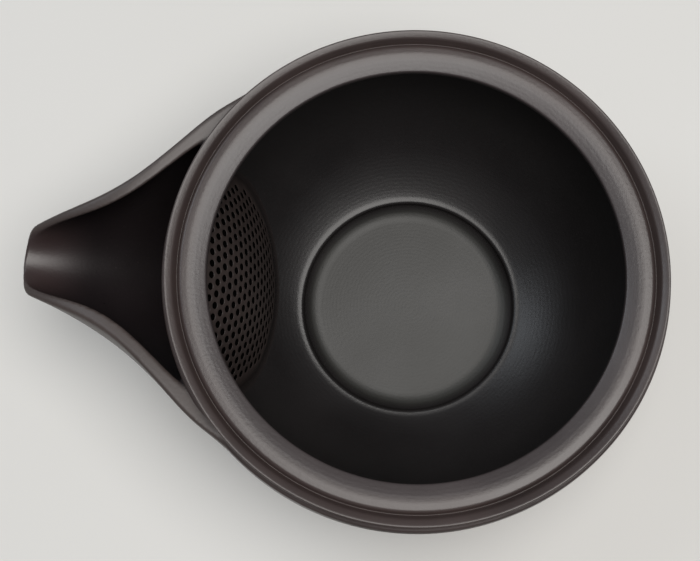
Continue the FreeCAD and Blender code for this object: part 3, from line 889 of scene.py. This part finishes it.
def clay(name, base, rough, zones=None, turning=None, grain=1.0, sheen=HANDLED_SHEEN):
    """Unglazed clay, wiped smooth. turning is the place of the axis that the piece was thrown on."""
    material = bpy.data.materials.new(name)
    material.use_nodes = True
    tree = material.node_tree
    shader = tree.nodes["Principled BSDF"]
    place = tree.nodes.new("ShaderNodeTexCoord").outputs["Object"]
    colour = (*base, 1)
    roughness = rough
    shader.inputs["Specular IOR Level"].default_value = sheen
    varied_sheen = sheen != HANDLED_SHEEN
    for mask, zone_colour, zone_rough in zones(tree, place) if zones else ():
        colour = blend_colour(tree, mask, colour, zone_colour)
        roughness = blend_value(tree, mask, roughness, zone_rough)
        if varied_sheen:
            sheen = blend_value(tree, mask, sheen, HANDLED_SHEEN)
            tree.links.new(sheen, shader.inputs["Specular IOR Level"])

    inputs = {"Vector": place, "Scale": 38.0, "Detail": 4.0}
    patches = add_node(tree, "ShaderNodeTexNoise", inputs).outputs["Fac"]
    inputs = {0: colour, "Scale": ramp(tree, patches, 0.3, 0.72, 0.8, 1.2)}
    if not isinstance(colour, bpy.types.NodeSocket):
        inputs[0] = colour[:3]
    colour = add_node(tree, "ShaderNodeVectorMath", inputs, operation="SCALE").outputs["Vector"]
    inputs = {"Vector": place, "Scale": 2600.0, "Detail": 2.0}
    specks = add_node(tree, "ShaderNodeTexNoise", inputs).outputs["Fac"]
    share = ramp(tree, specks, 0.66, 0.76, 0.0, 0.5)
    colour = blend_colour(tree, share, colour, (*[c * 3.0 for c in base], 1))
    # Sparse pinholes: each is a small dent in the bump, painted near black inside as painted shade.
    cells = add_node(tree, "ShaderNodeTexVoronoi", {"Vector": place, "Scale": 170.0})
    chosen = add_node(tree, "ShaderNodeSeparateColor", {"Color": cells.outputs["Color"]})
    dots = ramp(tree, cells.outputs["Distance"], 0.02, 0.05, 1.0, 0.0)
    pits = calculate(tree, "MULTIPLY", dots, ramp(tree, chosen.outputs["Red"], 0.6, 0.62, 0.0, 0.7))
    colour = blend_colour(tree, pits, colour, PIT_SHADE_TONE)
    tree.links.new(colour, shader.inputs["Base Color"])

    change = ramp(tree, patches, 0.2, 0.8, -0.04, 0.05)
    tree.links.new(calculate(tree, "ADD", roughness, change), shader.inputs["Roughness"])

    inputs = {"Vector": place, "Scale": 1500.0, "Detail": 5.0, "Roughness": 0.65}
    fine = add_node(tree, "ShaderNodeTexNoise", inputs).outputs["Fac"]
    height = calculate(tree, "SUBTRACT", fine, calculate(tree, "MULTIPLY", pits, 0.6))
    inputs = {"Strength": 0.16 * grain, "Distance": 0.0002, "Height": height}
    bump = add_node(tree, "ShaderNodeBump", inputs)
    if turning is not None:
        inputs = {"Vector": place, "Location": (-turning[0] * MM, -turning[1] * MM, 0)}
        shifted = add_node(tree, "ShaderNodeMapping", inputs).outputs["Vector"]
        inputs = {"Vector": shifted, "Scale": 420.0, "Distortion": 3.0, "Detail": 3.0}
        settings = {"wave_type": "RINGS", "rings_direction": "Z"}
        lines = add_node(tree, "ShaderNodeTexWave", inputs, **settings).outputs["Fac"]
        inputs = {"Strength": 0.03 * grain, "Distance": 0.00012, "Height": lines}
        wheel = add_node(tree, "ShaderNodeBump", inputs)
        tree.links.new(wheel.outputs["Normal"], bump.inputs["Normal"])
    tree.links.new(bump.outputs["Normal"], shader.inputs["Normal"])
    shader.inputs["IOR"].default_value = 1.58
    return material


def table_material():
    material = bpy.data.materials.new("table")
    material.use_nodes = True
    tree = material.node_tree
    shader = tree.nodes["Principled BSDF"]
    place = tree.nodes.new("ShaderNodeTexCoord").outputs["Object"]
    inputs = {"Vector": place, "Scale": 9.0, "Detail": 3.0}
    clouds = add_node(tree, "ShaderNodeTexNoise", inputs).outputs["Fac"]
    colour = blend_colour(tree, clouds, (0.74, 0.735, 0.71, 1), (0.79, 0.785, 0.765, 1))
    tree.links.new(colour, shader.inputs["Base Color"])
    shader.inputs["Roughness"].default_value = 0.75
    return material


def add_floor():
    size = 3.0
    mesh = bpy.data.meshes.new("table")
    corners = [(-size, -size, 0), (size, -size, 0), (size, size, 0), (-size, size, 0)]
    mesh.from_pydata(corners, [], [(0, 1, 2, 3)])
    floor = bpy.data.objects.new("table", mesh)
    bpy.context.scene.collection.objects.link(floor)
    floor.data.materials.append(table_material())


def add_area(name, place, target, width, power, colour):
    light = bpy.data.lights.new(name, "AREA")
    light.shape = "DISK"
    light.size = width
    light.energy = power
    light.color = colour
    obj = bpy.data.objects.new(name, light)
    bpy.context.scene.collection.objects.link(obj)
    obj.location = place
    obj.rotation_euler = (Vector(target) - Vector(place)).to_track_quat("-Z", "Y").to_euler()


def add_world():
    world = bpy.data.worlds.new("studio")
    bpy.context.scene.world = world
    world.use_nodes = True
    nodes = world.node_tree.nodes
    links = world.node_tree.links
    lit = nodes["Background"]
    lit.inputs["Color"].default_value = (0.92, 0.95, 1.0, 1)
    lit.inputs["Strength"].default_value = 0.16
    shown = nodes.new("ShaderNodeBackground")
    shown.inputs["Color"].default_value = (0.78, 0.775, 0.755, 1)
    shown.inputs["Strength"].default_value = 1.0
    path = nodes.new("ShaderNodeLightPath")
    mix = nodes.new("ShaderNodeMixShader")
    links.new(path.outputs["Is Camera Ray"], mix.inputs[0])
    links.new(lit.outputs[0], mix.inputs[1])
    links.new(shown.outputs[0], mix.inputs[2])
    links.new(mix.outputs[0], nodes["World Output"].inputs["Surface"])


def add_camera():
    """The camera, fitted to the outlines in the photo."""
    camera = bpy.data.objects.new("camera", bpy.data.cameras.new("camera"))
    bpy.context.scene.collection.objects.link(camera)
    camera.data.sensor_width = 36.0
    camera.data.lens = 56.571
    camera.data.clip_start = 0.005
    camera.location = (-0.006312, -0.038775, 0.240217)
    camera.rotation_euler = (math.radians(10.5975), math.radians(1.00237), math.radians(3.15))
    bpy.context.scene.camera = camera


add_camera()
body_clay = clay("body_clay", (0.0105, 0.0088, 0.009), 0.36, bowl_zones, (0.0, 0.0))
spout_clay = clay("spout_clay", (0.0125, 0.0096, 0.0103), 0.42, spout_zones, sheen=0.1)
strainer_clay = clay("strainer_clay", (0.038, 0.0272, 0.0248), 0.5, grain=1.6)
# Near black, matte clay with no specular for the strainer's hole walls: painted shade inside the
# holes.
painted_hole_shade = clay("painted_hole_shade", (0.002, 0.0017, 0.0016), 0.9, sheen=0.0)
seam_clay = clay("seam_clay", (0.016, 0.0122, 0.0118), 0.42)
lid_clay = clay("lid_clay", HANDLED_TONE[:3], HANDLED_ROUGH, turning=LID_PLACE)

pot = turned("pot_clay", bowl_profile(), "pot")
cut(pot, opening_tool())
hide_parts("pot_body")

spout = spout_mesh()
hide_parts("spout")

strainer = strainer_mesh()
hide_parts("strainer")
strainer_join = strainer_seam()

lid = turned("lid_turned", lid_profile(), "lid", LID_PLACE)
cut(lid, vent_tool())
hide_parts("lid")
knob = turned("knob_turned", knob_profile(), "lid", LID_PLACE, base=KNOB_BASE)
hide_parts("lid_knob")
knob_join = knob_seam()

for piece, material in (
    (pot, body_clay),
    (spout, spout_clay),
    (strainer, strainer_clay),
    (strainer_join, seam_clay),
    (lid, lid_clay),
    (knob, lid_clay),
    (knob_join, lid_clay),
):
    piece.data.materials.clear()
    piece.data.materials.append(material)
# The hole walls take the near black clay, painted shade inside the holes.
strainer.data.materials.append(painted_hole_shade)
for face in strainer.data.polygons:
    hole_wall = len(face.vertices) == 4
    if hole_wall:
        face.material_index = 1
        face.use_smooth = False

add_floor()
add_world()
add_area("overhead", (0.135, -0.045, 0.8), (0.0, 0.0, 0.03), 0.68, 5.5, (1.0, 0.975, 0.945))
add_area("window", (-0.62, 0.3, 0.7), (0.0, 0.0, 0.03), 0.5, 1.5, (0.86, 0.93, 1.0))

bpy.context.scene.view_settings.view_transform = "Standard"
